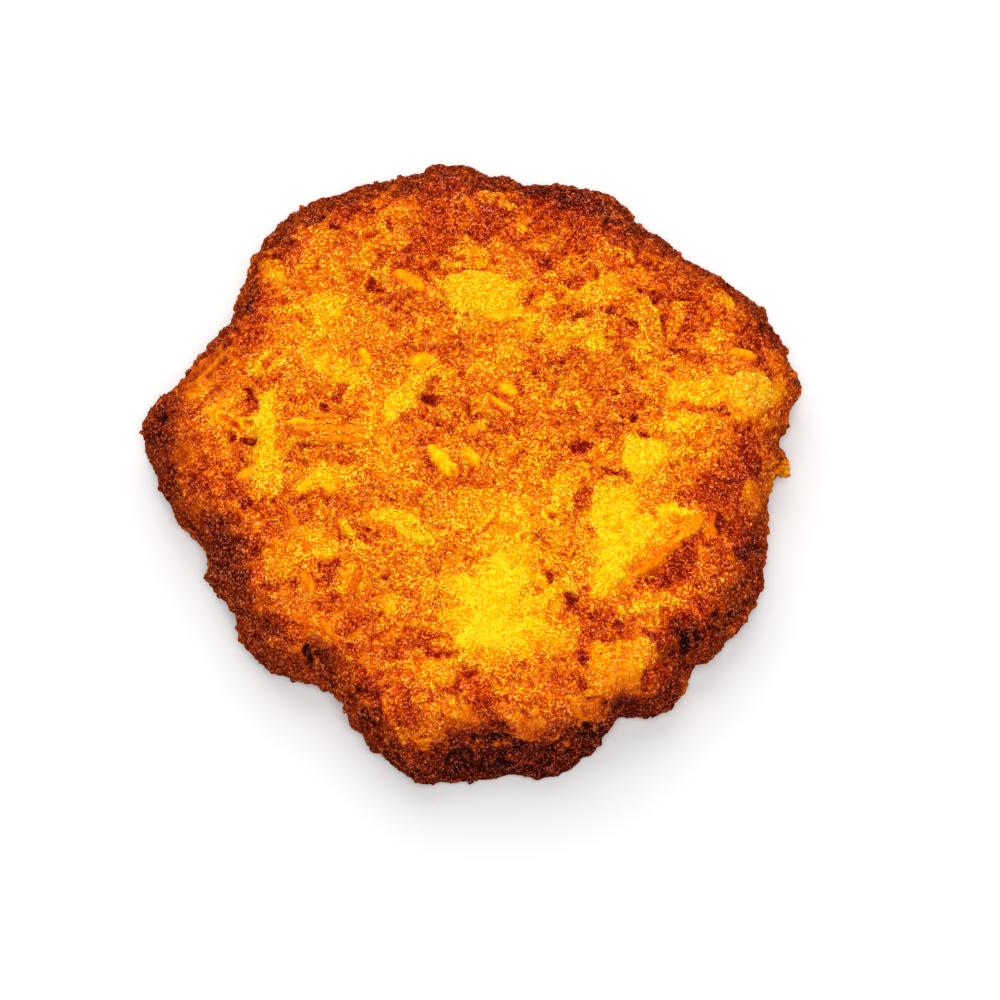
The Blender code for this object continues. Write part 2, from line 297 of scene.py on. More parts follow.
# Pits and dark gaps, darkened with painted shade, and swellings, where the depth is below 0:
# (x, y, half length, half width, turn, depth, tone of the painted shade)
PITS = [
    (-5.6, 7.3, 2.1, 1.3, -16, 1, 55), (-20.2, 8.3, 1.9, 0.7, 42, 0.5, 36),
    (-22.4, 5.6, 1.7, 0.6, 80, 0.5, 40), (-1.6, 21.2, 1.6, 0.25, -60, 0.2, 30),
    (-34, 6.6, 1.8, 0.9, 80, 0.4, 22), (-35.4, 3.2, 1.5, 0.6, -55, 0.6, 45),
    (-33.4, 0.2, 1.3, 0.7, 8, 0.8, 55), (-36, 0.8, 1, 0.6, 50, 0.4, 34),
    (-23.4, -0.6, 2.1, 0.5, -4, 0.4, 34), (-14.6, 25.4, 1.6, 0.7, -24, 0.5, 42),
    (31.7, -31.4, 0.9, 2.2, -4, 2.2, 70), (22.8, -41.2, 1.2, 1, 30, 1, 50),
    (30, -19.8, 5.2, 1.1, 57, 0.5, 12), (15, -24.6, 1.2, 0.9, -20, 0.6, 46),
    (17, -23.5, 0.7, 0.5, 0, 0.4, 44), (12.2, -20.9, 0.9, 0.7, 60, 0.6, 50),
    (11, -18.6, 0.8, 0.6, -30, 0.5, 46), (14.9, -17.2, 0.9, 0.4, 30, 0.4, 40),
    (10.9, -15.2, 1.8, 0.35, -20, 0.4, 32), (16.8, -8.6, 2.4, 0.8, 60, 0.6, 42),
    (17, -0.8, 1.4, 1, 0, 0.4, 30), (21, -4.6, 2.2, 0.4, -12, 0.4, 34),
    (-24.2, -8.6, 1.4, 0.6, 20, 0.4, 30), (-33.4, -9, 0.9, 0.6, -50, 0.4, 30),
    (-20.2, -24, 0.8, 1.3, 0, 0.4, 24), (-21, -20, 2.4, 1.6, 0, 0.4, 26),
    (22.7, 4.3, 0.6, 0.5, 0, 0.5, 45), (26.3, 1.8, 0.9, 0.5, 30, 0.4, 40),
    (25.8, 25, 0.6, 0.5, 10, 0.5, 48), (29, 23.8, 1.5, 1.2, 30, 0.5, 40),
    (24.1, 19.2, 0.8, 0.5, -30, 0.4, 36), (-25.6, 20.3, 0.8, 0.5, -40, 0.4, 40),
    (11.6, 30.3, 1.1, 0.5, 20, 0.4, 36), (-12, 35.6, 0.8, 0.6, 0, 0.4, 44),
    (-20.8, 36.3, 0.9, 0.8, 40, 0.5, 36), (42, 6.3, 0.4, 0.3, 0, 0.3, 40),
    (42, 3, 1.8, 0.7, 65, 0.5, 36), (-23.8, -32.4, 1.2, 2, 10, 1, 42), (-5.3, 4.1, 0.5, 1, 20, 0.4, 40),
    (12.9, 10.4, 1.2, 0.6, 0, 0.4, 28), (-9.8, 20.4, 0.9, 1.1, 0, 0.3, 26),
    (37, -12.4, 1.5, 1.1, 0, 0.2, 14), (37.8, -6, 2.6, 0.8, 6, 0.5, 32),
    (-8.6, -10.2, 0.6, 0.4, 0, 0.3, 36), (-46.5, 5.2, 0.7, 0.7, 0, 0.8, 40),
    (-29, -33.4, 2.6, 0.6, 4, 0.6, 30), (21.9, -27.6, 2, 0.6, -60, 0.4, 32),
    (16, -32.8, 0.8, 1.6, 20, 0.4, 28), (-11.6, -14, 0.4, 0.9, 20, 0.3, 34),
    (0.2, 28, 5.4, 0.35, -2, 0.3, 24), (-38.8, 12.6, 1.8, 0.5, 35, 0.4, 30),
    (37, 5.8, 0.8, 0.35, 0, 0.3, 30), (2.5, -13, 3.2, 0.5, 54, 0.4, 22),
    (-3.4, -13.6, 4.2, 0.45, -39, 0.4, 20), (-6.4, -4.8, 0.7, 1.9, 12, 0.3, 22),
    (22.6, -34.2, 4.4, 4, 0, -0.8, 0), (-4.4, -41.6, 3.8, 3, 0, -0.5, 0),
    (10, -41.4, 4.6, 3, 0, -0.5, 0),
]
# Broad soft tones: (x, y, half length, half width, tone, and the turn of one that lies askew)
PALE_AREAS = [
    (-13, -44.6, 2, 1.2, -16), (-8, -44.6, 2, 1.2, -14), (11.4, -17.6, 1.6, 1.6, -16),
    (-15.6, -26.2, 1.6, 1.4, -12), (2.2, 24, 6.5, 4, -20, -8), (-22.6, 19.5, 4, 7.6, -16, 10),
    (-28, 14.4, 3.6, 2, -12), (-19, 11.5, 5, 2.6, -16, -10), (-9.8, 8.6, 5.4, 2.6, -18, 52),
    (-13.4, 4.4, 4, 2.2, -12, 10), (-30.8, 2, 2.8, 5.4, -22, -8), (-30.6, -5.4, 3.2, 3.8, -12),
    (-37, 5.2, 2, 2.6, -30), (-22.8, -6.9, 2.8, 1.6, -38), (0.8, 15.4, 1.6, 1.4, -16),
    (-21.9, -27, 1.8, 1.6, -20), (-36, -4.6, 1.4, 1.8, -10), (39, 24.2, 1.8, 1.8, -26),
    (0.7, 31.8, 2.2, 1.4, -22), (0.5, 3, 1.6, 1.2, -22), (7.8, 18.2, 1.8, 1.4, -22),
    (7.8, 36.4, 1.6, 2, -22), (8.4, -37.8, 2.4, 1.2, -14), (-11.7, -25, 2.2, 1.6, -24),
    (-16.7, -20.7, 1.8, 1.6, -22), (-19.8, -28.5, 2, 1.4, -10), (12.7, -14.7, 2, 1.6, -20),
    (-0.7, -41.2, 2, 2.4, -32), (17.6, -40.7, 2.8, 1.8, -30), (-7.3, -28.6, 2, 1.2, -12),
    (-32.6, -25.2, 2.2, 1.8, -26), (47.4, 8.4, 1.8, 3, -42), (46, -3.2, 1.8, 2.4, -60),
    (27.4, -15.7, 2, 1.4, -30, 40), (21.2, 8, 1.4, 1.6, -12), (18.3, -33.1, 1.4, 2.4, -30),
    (8.1, -43.7, 2.6, 1.6, -30), (26.6, 11, 1.8, 1.8, -18), (22.4, -40.4, 2.8, 2, -34),
    (-13.1, 0.6, 2.2, 1.6, -18), (-14.4, -13, 1.2, 1.4, -12), (19.2, -1.8, 1.4, 1.6, -18),
    (-38.9, -8.6, 1.8, 1.8, -12), (-38.8, -17, 1.8, 1.8, -28), (-20.4, -4.8, 4.6, 2.8, -12, -24),
    (25.4, -1.6, 4, 4.2, -24), (31.4, 3, 5, 2.2, -20, 6), (33.6, 8.4, 5.2, 3, -22, 4),
    (41.8, 8.2, 4, 3.2, -26), (21.6, -9.4, 4.4, 5.4, -26), (23, -15.6, 6.6, 4.4, -28, 40),
    (31, -11.5, 4.4, 2, -30), (19.8, -21.6, 4.6, 3, -20, 52), (3, -22.6, 9, 5, -30, 8),
    (4.6, -29, 9, 4.4, -28), (12.4, -22.8, 3.6, 3, -10, 40), (6.6, -14, 4.4, 5, -18),
    (12.2, -7.4, 2.2, 5, -12, -24), (0, -11.2, 5.6, 3.2, -12, 22), (-9.6, -13.4, 5.8, 3, -18, -24),
    (-26, -16.6, 5.6, 4.4, -12, -40), (27.8, -24.6, 4.6, 2.2, -14, 8), (22.2, -32, 4.8, 4.6, -16),
    (-4.8, -35.6, 4.4, 2.2, -14, 8), (35.8, 18, 2, 2.6, -14), (14.6, 18.4, 4.6, 2.4, -12, 8),
    (10.2, 21.4, 4.2, 2.2, -12, 38), (19.8, 25, 4.4, 2.8, -12, 10), (19.4, 16.6, 2.2, 2, -12),
    (-31, 26.8, 2.2, 2, -32), (-42, 11.7, 4.4, 2, -50, 45), (22.6, -36.8, 4, 3, -20, 20),
    (-19.8, -18.4, 2.6, 2.2, -14), (13.4, 15.6, 3.6, 1.6, -14), (0.6, 10.6, 2.2, 2.4, -14),
    (-12.4, 17.6, 2, 1.8, -12), (28.2, 27, 2.2, 4.4, -12), (-28.4, 19.2, 3.2, 1.8, -16),
    (32.4, -1.4, 3.2, 2.4, -10), (44.2, -6, 2.4, 2.4, -60), (15.8, -7.8, 1.4, 3.2, -16, -20),
    (14.4, -25.4, 2.4, 2, -12), (-43.4, -1.8, 2, 2.4, -28), (38.4, -22.4, 2, 2.2, -12),
    (41, 4.5, 2, 2, -36),
]
BROWN_AREAS = [
    (-25, 20.2, 1.6, 1.4, 16), (25, 26.4, 1.8, 1.4, 18), (6, -34.2, 2.4, 1.4, 18),
    (-4.6, 28.6, 2, 1.4, 18), (-15.2, -36.8, 1.8, 1.8, 18), (19.8, -44.2, 2, 1.4, 20),
    (-47.6, 2.4, 2.2, 7, 18, 4), (-33.4, 23.6, 2.6, 4.4, 28, -10), (-30, 33, 2.8, 2.4, 18),
    (-19.8, 38.8, 2.6, 2, 30), (-1.6, 43.8, 4.4, 3.4, 20), (3.2, 36.6, 3.4, 2.8, 28),
    (-2.6, 38, 3, 2.4, 10), (-7, 31.6, 3.4, 4.6, 20, -20), (-1.4, 34, 3, 2.4, 12),
    (-9.2, 15.6, 2.2, 1.4, 14), (-12, 29.6, 2.4, 1.6, 20, -20), (-34.2, 5.6, 1.4, 2.4, 16),
    (-33.4, -0.9, 2.6, 1.4, 26), (6.2, 3.2, 3.4, 1.6, 12, 20), (1, -0.4, 3.4, 1.6, 12),
    (9, 14.8, 2.2, 2.4, 10), (16, 13.2, 4.4, 2.4, 16), (17, 21.6, 3.6, 1.6, 10),
    (23.4, 17.4, 1.6, 2, 10), (23.8, 7.2, 2.6, 3.2, 18), (12.6, 11, 2.4, 1.8, 10),
    (30.6, 24.4, 2.8, 2.4, 22), (30.8, 17.4, 2.2, 3.8, 26, 20), (33.6, 14.6, 2.6, 2, 20),
    (42.4, 17.4, 2.6, 3.4, 26), (14, 40.6, 6, 2.6, 30, -8), (16.6, 38, 2.8, 2.4, 16),
    (16.6, 33.6, 3.4, 2.4, 16), (21.6, 36, 3.4, 2.6, 12, -40), (28.6, 31.4, 3.6, 3.4, 12, -40),
    (16.4, -0.8, 1.8, 2, 18), (17.4, -9.2, 1.4, 3.2, 18, -32), (40.6, -1.4, 3, 4.2, 26),
    (37.4, -6.6, 4.4, 2.6, 24), (37.8, -10.8, 2.8, 3.2, 26), (30, -19.6, 5.6, 1.5, 30, 57),
    (28.2, -22.6, 2, 1.6, 16), (18.8, -28.2, 3.2, 2.6, 28), (15.8, -24.8, 2.4, 1.8, 26),
    (33, -29.6, 3.4, 2.6, 14, 40), (38.6, -26.6, 3.8, 3.4, 12), (29.8, -33.4, 1.6, 3.8, 16, -10),
    (15.8, -32.8, 1.6, 2.6, 14), (-0.6, -37.4, 3, 2.6, 24, 10), (2.4, -42.2, 1.8, 3, 22, 10),
    (-9, -40.6, 1.8, 2.8, 16), (-14.4, -39.2, 1.8, 3.2, 24), (-6.6, -31.6, 4.6, 1.8, 24, -4),
    (-20.8, -20.8, 2.8, 2, 12), (-22, -9.2, 5.4, 1.8, 12), (-34.4, -8.8, 3.6, 3, 12),
    (-39, -5.4, 2.2, 3, 20), (-26.8, -28.2, 2.6, 2.2, 22), (-7, 0.8, 1.6, 2.4, 16),
    (-9, -24.6, 2.2, 1.8, 10), (34.4, 20.6, 1.8, 3, 28), (-32.4, 16.2, 2, 2.2, 20),
    (-26.6, -12.8, 3.4, 2, 26, 24), (22, -5.3, 2.2, 1.4, 36), (12.6, -20.9, 1.8, 1.6, 20),
    (8.4, 23, 2.2, 1.8, 30), (11.2, 31, 3, 1.5, 24), (11.4, 37, 1.8, 2.6, 22),
    (-19.8, 35, 1.8, 4.2, 10, 15), (-21.4, -2.4, 3.4, 1.2, 26), (-5.6, -13.4, 2.2, 1.6, 10),
    (-4.2, -24.8, 2.6, 1.4, 22), (35.8, -17, 2.2, 4.4, 14), (27.6, -29.8, 2.6, 1.6, 32),
    (35, 5.4, 3, 1.8, 22, 20), (-5.6, 42.6, 3, 1.8, 30), (-4.6, 7.3, 2.2, 1.2, 20),
    (12.8, 7.8, 1.6, 1.6, 20), (31.4, -8, 2, 1.4, 20), (22.6, 22.4, 1.8, 1.8, 20),
    (-12.4, -40.8, 1.6, 1.4, 16), (31, -17, 2, 1.6, 20, 38), (7.4, 33.8, 2, 1.4, 20),
    (-16.6, -31.2, 1.8, 1.4, 18), (0.8, -19.6, 1.8, 1.2, 20), (18.4, -18.8, 1.6, 1.4, 18),
    (-16.6, -27.8, 2.6, 1.4, 20), (-20.8, -25, 1.6, 1.8, 24), (23, -29, 2, 1.8, 24),
    (-13.2, 24.2, 3, 1.4, 20, -20), (-23.5, -20.3, 1.6, 1.8, 20), (8.8, -22.9, 1.6, 1.2, 28),
    (20.1, 1.7, 1.6, 1.2, 20), (-32.3, -20.9, 2, 1.4, 20), (7.6, -39.8, 3.6, 0.9, 18),
    (10, -14.8, 1.4, 1.4, 16), (27.2, -35.8, 2.6, 2, 32, 20), (41, -15, 2.4, 3, 36),
    (31.2, -25.8, 2.4, 1.8, 28, 40), (26.8, 1.8, 2.6, 1.4, 30), (16, 27.6, 2.8, 1.6, 28),
    (-31.3, -15.4, 2.8, 1.8, 28), (-13.6, -10, 2.2, 1.2, 20), (26.6, -11.2, 1.4, 1.4, 20),
    (-19.4, -32, 2.4, 1.4, 22), (-28, -7.8, 2.4, 2.4, 18), (13.4, 20.3, 1.8, 1.4, 26),
    (-1, -5.7, 1.8, 1.4, 18), (13.4, -5.7, 1.4, 1.4, 8),
]
# The scorched rim: (direction in degrees from +x, width of the band on top, strength of
# the band, strength on the wall, softness of the inner edge, depth of the band below it)
RIM_BAND = [
    (0, 3, 0.2, 0.16, 1, 0), (8, 2, 0.12, 0.12, 1, 0), (22, 3.6, 0.31, 0.18, 1, 0),
    (34, 2.6, 0.31, 0.16, 1, 0), (50, 3.8, 0.36, 0.26, 1, 0), (66, 5.4, 0.39, 0.28, 1, 0),
    (80, 4.2, 0.39, 0.28, 1, 0), (92, 4.8, 0.37, 0.26, 1, 0), (106, 4.2, 0.39, 0.28, 1, 0),
    (120, 6.2, 0.43, 0.3, 1, 0), (130, 5, 0.35, 0.24, 1, 0), (138, 2.4, 0.25, 0.14, 1, 0),
    (146, 3.6, 0.37, 0.26, 1, 0), (158, 3.8, 0.27, 0.16, 1, 0), (167, 4.4, 0.39, 0.28, 0.6, 0),
    (178, 5.6, 0.43, 0.36, 0.5, 0), (186, 2.6, 0.38, 0.34, 0.6, 0), (194, 3.2, 0.36, 0.3, 0.8, 0),
    (204, 5.6, 0.46, 0.36, 0.8, 0), (214, 4.4, 0.46, 0.38, 0.9, 0), (226, 4.2, 0.42, 0.36, 1, 0),
    (236, 3.4, 0.36, 0.28, 1, 0), (248, 3.6, 0.38, 0.36, 0.9, 0), (256, 2.6, 0.44, 0.62, 0.8, 0.1),
    (263, 2.6, 0.44, 0.66, 0.8, 0.2), (269, 4.6, 0.6, 0.7, 0.2, 1.2), (274, 5, 0.62, 0.72, 0.1, 1.4),
    (280, 3.8, 0.62, 0.72, 0.1, 1.3), (289, 3.3, 0.6, 0.72, 0.1, 1), (297, 1.8, 0.4, 0.68, 0.4, 0.4),
    (308, 2.2, 0.3, 0.44, 0.9, 0), (318, 4.4, 0.42, 0.42, 1, 0), (328, 3.2, 0.38, 0.34, 1, 0),
    (338, 3.6, 0.36, 0.28, 1, 0), (350, 2.4, 0.22, 0.14, 1, 0),
]
# Hollows and pale spots on the wall, the hollows darkened with painted shade: (x, y, z, radius, depth,
# tone)
WALL_SPOTS = [
    (-50.6, 2.8, 6.5, 3, 2.2, 0), (-47.6, 8.8, 7, 2.8, -1.2, 0), (-1.9, -48.2, 7.4, 1.3, 2.4, 60),
    (4.9, -48.6, 6.6, 1.5, 2.4, 60), (16.1, -46.8, 7.5, 1.2, 2.4, 60), (-1.2, -48, 11.4, 0.9, 1.4, 20),
    (31.6, -34, 7, 1.7, 1.6, 12), (-42, -12, 5, 1.8, 1.2, 10), (-36.2, -24, 5, 1.6, 1, 8),
    (46.4, -2.4, 7, 3.2, 0.2, -45), (0.6, -47.6, 11, 1, -0.4, -26), (9.6, -47.6, 10.6, 1, -0.4, -20),
    (16, -46.2, 11, 0.9, -0.4, -26), (-8, -47.6, 6, 3.6, -0.3, -4), (31.8, -35.8, 3.5, 2.4, -0.2, -40),
]
# Places with more or fewer painted glints, highlights as on fat and crumbs painted into the colour: (x,
# y, radius, amount)
PAINTED_GLINT_SPOTS = [
    (42.4, 8.2, 4.8, 2), (39, -6, 6, 0.4), (-27, 36, 8, 0.3), (0, 40, 9, 0.5), (20, 39, 9, 0.4),
    (-36, -18, 9, 0.4), (36, -22, 8, 0.4), (23.6, -32.6, 2.4, 0.6), (-8.4, -37.6, 1.4, 0.9),
    (-30, 0, 5, -0.2),
]

# ------------------------------------------------------------------ the fine mesh
SAME_PLACE_MM = 0.001  # corners of the solid that are closer than this are one corner
FINE_MM = 0.37  # spacing of the fine mesh
SMOOTH_PASSES = 18
UNDERSIDE_KEPT = 0.06  # share of the fine mesh that is left underneath
UNDERSIDE_SLOPE = -0.5
UNDERSIDE_MM = 2.5
SEED_STEPS = np.array([1.0, 1.7, 0.6])  # how far one seed moves the noise along each axis
GRAIN_GAIN = 2.2


def evaluated_mesh(thing):
    """A copy of the object's mesh with its modifiers applied."""
    graph = bpy.context.evaluated_depsgraph_get()
    return bpy.data.meshes.new_from_object(thing.evaluated_get(graph))


def link_rough(mesh):
    rough = bpy.data.objects.new("rough", mesh)
    bpy.context.scene.collection.objects.link(rough)
    return rough


def fine_copy(cad_node):
    """An evenly fine, smoothed copy of the CAD solid, coarser only underneath."""
    mesh = cad_node.data.copy()
    mesh.materials.clear()
    bm = bmesh.new()
    bm.from_mesh(mesh)
    bmesh.ops.remove_doubles(bm, verts=bm.verts, dist=SAME_PLACE_MM * MM)
    bm.to_mesh(mesh)
    bm.free()
    rough = link_rough(mesh)
    remesh = rough.modifiers.new("remesh", "REMESH")
    remesh.mode = "VOXEL"
    remesh.voxel_size = FINE_MM * MM
    smooth = rough.modifiers.new("smooth", "SMOOTH")
    smooth.factor = 0.5
    smooth.iterations = SMOOTH_PASSES
    fine = evaluated_mesh(rough)
    bpy.data.objects.remove(rough)

    even = link_rough(fine)
    under = even.vertex_groups.new(name="under")
    looks_down = normals_of(fine)[:, 2] < UNDERSIDE_SLOPE
    low = np.flatnonzero(looks_down & (points_of(fine)[:, 2] < UNDERSIDE_MM * MM))
    under.add([int(i) for i in low], 1.0, "REPLACE")
    thin = even.modifiers.new("thin", "DECIMATE")
    thin.vertex_group = "under"
    thin.vertex_group_factor = 1000.0
    thin.ratio = 1 - (1 - UNDERSIDE_KEPT) * len(low) / len(fine.vertices)
    thinned = evaluated_mesh(even)
    bpy.data.objects.remove(even)
    return thinned


def points_of(mesh):
    found = np.empty(len(mesh.vertices) * 3, np.float32)
    mesh.vertices.foreach_get("co", found)
    return found.reshape(-1, 3).astype(float)


def normals_of(mesh):
    found = np.empty(len(mesh.vertices) * 3, np.float32)
    mesh.vertex_normals.foreach_get("vector", found)
    return found.reshape(-1, 3).astype(float)


def neighbour_mean(mesh, values, passes):
    """The values blurred over the mesh by averaging along its edges."""
    edges = np.empty(len(mesh.edges) * 2, np.int32)
    mesh.edges.foreach_get("vertices", edges)
    a, b = edges.reshape(-1, 2).T
    count = np.bincount(edges, minlength=len(values)) + 1.0
    for _ in range(passes):
        total = values.copy()
        total += np.bincount(a, values[b], len(values))
        total += np.bincount(b, values[a], len(values))
        values = total / count
    return values


def noise_at(points_mm, wavelength, octaves=1, seed=0.0):
    """Perlin noise, about -1 to 1, at each point."""
    placed = points_mm / wavelength + seed * SEED_STEPS
    if octaves == 1:
        return np.array([noise.noise(p) for p in placed])
    return np.array([noise.fractal(p, 1.0, 2.0, octaves) for p in placed])


def cell_domes(points_mm, size, seed):
    """Rounded grains: 1 in the middle of each cell, 0 in the gaps between them."""
    placed = points_mm / size + seed
    domes = np.empty(len(placed))
    for i, p in enumerate(placed):
        first, second = noise.voronoi(p)[0][:2]
        domes[i] = second - first
    return np.clip(domes * GRAIN_GAIN, 0, 1)


def oval_distance(points, x, y, along, across, turn=0):
    """Distance from an oval's middle, 1 on its edge, seen from above."""
    a = math.radians(turn)
    dx, dy = points[:, 0] - x, points[:, 1] - y
    s = (dx * math.cos(a) + dy * math.sin(a)) / along
    w = (dy * math.cos(a) - dx * math.sin(a)) / across
    return np.hypot(s, w)


def hill(distance):
    """A soft hill: 1 in the middle, 0 from a distance of 1 outwards."""
    return np.clip(1 - distance * distance, 0, 1) ** 2


def level_direction(turn):
    """The level direction at this many degrees from +x."""
    a = math.radians(turn)
    return np.array([math.cos(a), math.sin(a), 0.0])


def smoothstep(low, high, values):
    """0 up to low, 1 from high, and a smooth climb between them."""
    t = np.clip((values - low) / (high - low), 0, 1)
    return t * t * (3 - 2 * t)


# ------------------------------------------------------------------ the cake's surface
TOP_SLOPE = (0.35, 0.8)  # upward share of the normal, from the wall to the top
# Sideways shifts that make drawn outlines uneven: (wavelength, amount, seed)
BROAD_SHIFT = (5.0, 1.3, 50.0)
CRUMPLE_SHIFTS = ((2.4, 1.0, 60.0), (0.95, 0.42, 65.0))
STEADY_CRUMPLE = 0.3  # the sleek wedges have evener outlines
RIM_BLUR = np.ones(5) / 5


class Surface:
    """The fine mesh's points, in millimetres, with what has been worked out on them."""

    def __init__(self, mesh):
        self.points = points_of(mesh) / MM
        self.normals = normals_of(mesh)
        self.count = len(self.points)
        self.on_top = smoothstep(*TOP_SLOPE, self.normals[:, 2])
        self.wall = 1 - np.abs(self.normals[:, 2])
        self.turn = np.degrees(np.arctan2(self.points[:, 1], self.points[:, 0])) % 360
        self.rim_distance = self.distance_to_rim()
        self.crumple = self.warp(*CRUMPLE_SHIFTS[0]) + self.warp(*CRUMPLE_SHIFTS[1])
        self.warped = self.points + self.warp(*BROAD_SHIFT) + self.crumple
        self.steady = self.points + STEADY_CRUMPLE * self.crumple

    def distance_to_rim(self):
        """How far each point lies inside the cake's outline, seen from above."""
        radius = np.hypot(self.points[:, 0], self.points[:, 1])
        rim = np.zeros(360)
        np.maximum.at(rim, self.turn.astype(int), radius)
        soft = np.convolve(np.tile(rim, 3), RIM_BLUR, "same")[360:720]
        return np.interp(self.turn, np.arange(360) + 0.5, soft, period=360) - radius

    def warp(self, wavelength, amount, seed):
        shifts = [noise_at(self.points, wavelength, 1, seed + 7 * axis) for axis in (0, 1)]
        return amount * np.stack([*shifts, np.zeros(self.count)], axis=1)


# Pieces: height of the gaps between them, and a margin there that draws no outline
GAP_LEVEL = -0.25
GAP_MARGIN = 0.3
PIECE_REACH = 0.55  # share of a piece's diagonal that its points lie within
PIECE_FACING = 0.2  # a piece doesn't wrap round to points that look away from it
BEND_MIDDLE = 0.3
PIECE_ROUNDING = 0.35  # a lower power gives a flatter piece with a steeper edge


class Mosaic:
    """Overlapping pieces of potato: the highest one shows at each point."""

    def __init__(self, surface):
        self.surface = surface
        self.height = np.full(surface.count, GAP_LEVEL)
        self.tone = np.zeros(surface.count)
        self.margin = np.full(surface.count, GAP_MARGIN)
        self.sleek = np.zeros(surface.count)

    def press(self, centre, along, normal, size, rise, level, tone, power, bend=0.0, sleek=0.0):
        """Lays one piece: a higher power gives it squarer ends, and level is its edge's height."""
        length, width = size
        points = self.surface.steady if sleek else self.surface.warped
        reach = PIECE_REACH * math.hypot(length, width)
        near = np.flatnonzero(((points - centre) ** 2).sum(1) < reach * reach)
        near = near[self.surface.normals[near] @ normal > PIECE_FACING]
        offset = points[near] - centre
        across = np.cross(normal, along)
        s = offset @ along / (length / 2)
        w = (offset @ across + bend * (s * s - BEND_MIDDLE)) / (width / 2)
        inside = 1 - np.abs(s) ** power - np.abs(w) ** power
        keep = inside > 0
        near, inside = near[keep], inside[keep]
        height = level + rise * inside**PIECE_ROUNDING
        higher = height > self.height[near]
        near, inside, height = near[higher], inside[higher], height[higher]
        self.height[near] = height
        self.tone[near] = tone
        self.margin[near] = inside * width / 4
        self.sleek[near] = sleek


# Height of the edge, squareness and sleekness of each kind of piece
STRIP_KIND = (0.16, 3.5, 0.0)
CHIP_KIND = (0.06, 2.4, 0.0)
WEDGE_KIND = (0.30, 1.9, 0.7)
TOP_MM = 13.5
UP = np.array([0.0, 0.0, 1.0])


def press_landmarks(mosaic, rows, kind, scale=1):
    """Lays the pieces of one table on the top. The scale is 2 if it gives half sizes."""
    level, power, sleek = kind
    for x, y, length, width, turn, rise, tone in rows:
        centre = np.array([x, y, TOP_MM])
        size = (scale * length, scale * width)
        mosaic.press(centre, level_direction(turn), UP, size, rise, level, tone / 100, power, 0.0, sleek)


RANDOM_PIECES = 1700
WIDE_SHARE = 0.25


def random_direction(chance, normal):
    """A random direction in the surface."""
    spin = np.array([chance.gauss(0, 1) for _ in range(3)])
    along = spin - spin @ normal * normal
    return along / np.linalg.norm(along)


def press_random_pieces(mosaic, chance):
    """Covers the whole cake with strips and wider pieces of potato."""
    surface = mosaic.surface
    for _ in range(RANDOM_PIECES):
        at = chance.randrange(surface.count)
        normal = surface.normals[at]
        along = random_direction(chance, normal)
        wide = chance.random() < WIDE_SHARE
        length = chance.uniform(4, 9) if wide else chance.uniform(4, 13)
        width = chance.uniform(3, 6) if wide else chance.uniform(1.0, 2.6)
        rise = chance.uniform(0.2, 0.45)
        level = chance.gauss(-0.16, 0.16)
        tone = chance.gauss(0.0, 0.10)
        bend = chance.uniform(-0.8, 0.8)
        mosaic.press(surface.points[at], along, normal, (length, width), rise, level, tone, 3.0, bend)


# The scorched rim: noise that makes its inner edge ragged, and softer browning beside it
RAGGED = 0.55
RAGGED_NOISE = (4.0, 3, 70.0)  # wavelength, octaves, seed
SINGED = 0.30
SIDE_SLOPE = (0.35, 0.9)
BLUSH = 0.15
BLUSH_MM = (3.0, 16.0)  # distances from the rim between which the blush fades
LEDGE_MM = (1.5, 4.0)  # heights between which the ledge under the lip fades in


def rim_band(surface):
    """Browning of the scorched rim, and how deep it lies below the lip of the top crust."""
    columns = [np.array(column, float) for column in zip(*RIM_BAND)]
    width, strength, wall_strength, softness, depth = (
        np.interp(surface.turn, columns[0], column, period=360) for column in columns[1:]
    )
    ragged = 1 + RAGGED * noise_at(surface.points, *RAGGED_NOISE) * (0.4 + 0.6 * softness)
    reach = np.clip(surface.rim_distance, 0, None) / (width * ragged)
    band = 1 - smoothstep(0.88 - 0.55 * softness, 1.02 + 0.45 * softness, reach)
    singed = SINGED * (1 - softness) * (1 - smoothstep(0.9, 2.4, reach)) * (1 - band)
    on_side = smoothstep(*SIDE_SLOPE, surface.wall)
    browned = strength * band * (1 - on_side) + wall_strength * on_side
    blush = BLUSH * (1 - smoothstep(*BLUSH_MM, surface.rim_distance))
    above_base = smoothstep(*LEDGE_MM, surface.points[:, 2])
    return browned + blush + singed, depth * band * above_base


EDGE_SOFTNESS = 0.45
AREA_LIMITS = (-0.32, 0.5)


def area_tone(surface):
    """The broad soft tones added up."""
    tone = np.zeros(surface.count)
    for x, y, along, across, amount, *turn in PALE_AREAS + BROWN_AREAS:
        d = oval_distance(surface.warped, x, y, along, across, *turn)
        tone += amount / 100 * (1 - smoothstep(1 - EDGE_SOFTNESS, 1 + EDGE_SOFTNESS, d))
    return np.clip(tone, *AREA_LIMITS)


def store(mesh, name, values):
    attribute = mesh.attributes.new(name, "FLOAT", "POINT")
    attribute.data.foreach_set("value", np.asarray(values, np.float32))


OVAL_SPREAD = 1.3  # a soft hill has to start this much further out to look its size


def wall_spots(surface):
    """Depth and tone of the hollows and spots on the wall: painted shade in the hollows, paler crust on
    the spots.
    """
    depth, tone = np.zeros(surface.count), np.zeros(surface.count)
    for x, y, z, radius, deep, amount in WALL_SPOTS:
        offset = surface.points + surface.crumple - np.array([x, y, z])
        bowl = hill(np.linalg.norm(offset, axis=1) / (OVAL_SPREAD * radius))
        depth += deep * bowl
        tone += amount / 100 * bowl**0.5
    return depth * surface.wall, tone * surface.wall


# Painted glints that show everywhere
PLAIN_PAINTED_GLINT = 0.75


def painted_glints_at(surface):
    """How strongly the painted glints show at each point."""
    amount = np.full(surface.count, PLAIN_PAINTED_GLINT)
    for x, y, radius, extra in PAINTED_GLINT_SPOTS:
        amount += extra * hill(oval_distance(surface.warped, x, y, radius, radius))
    return amount


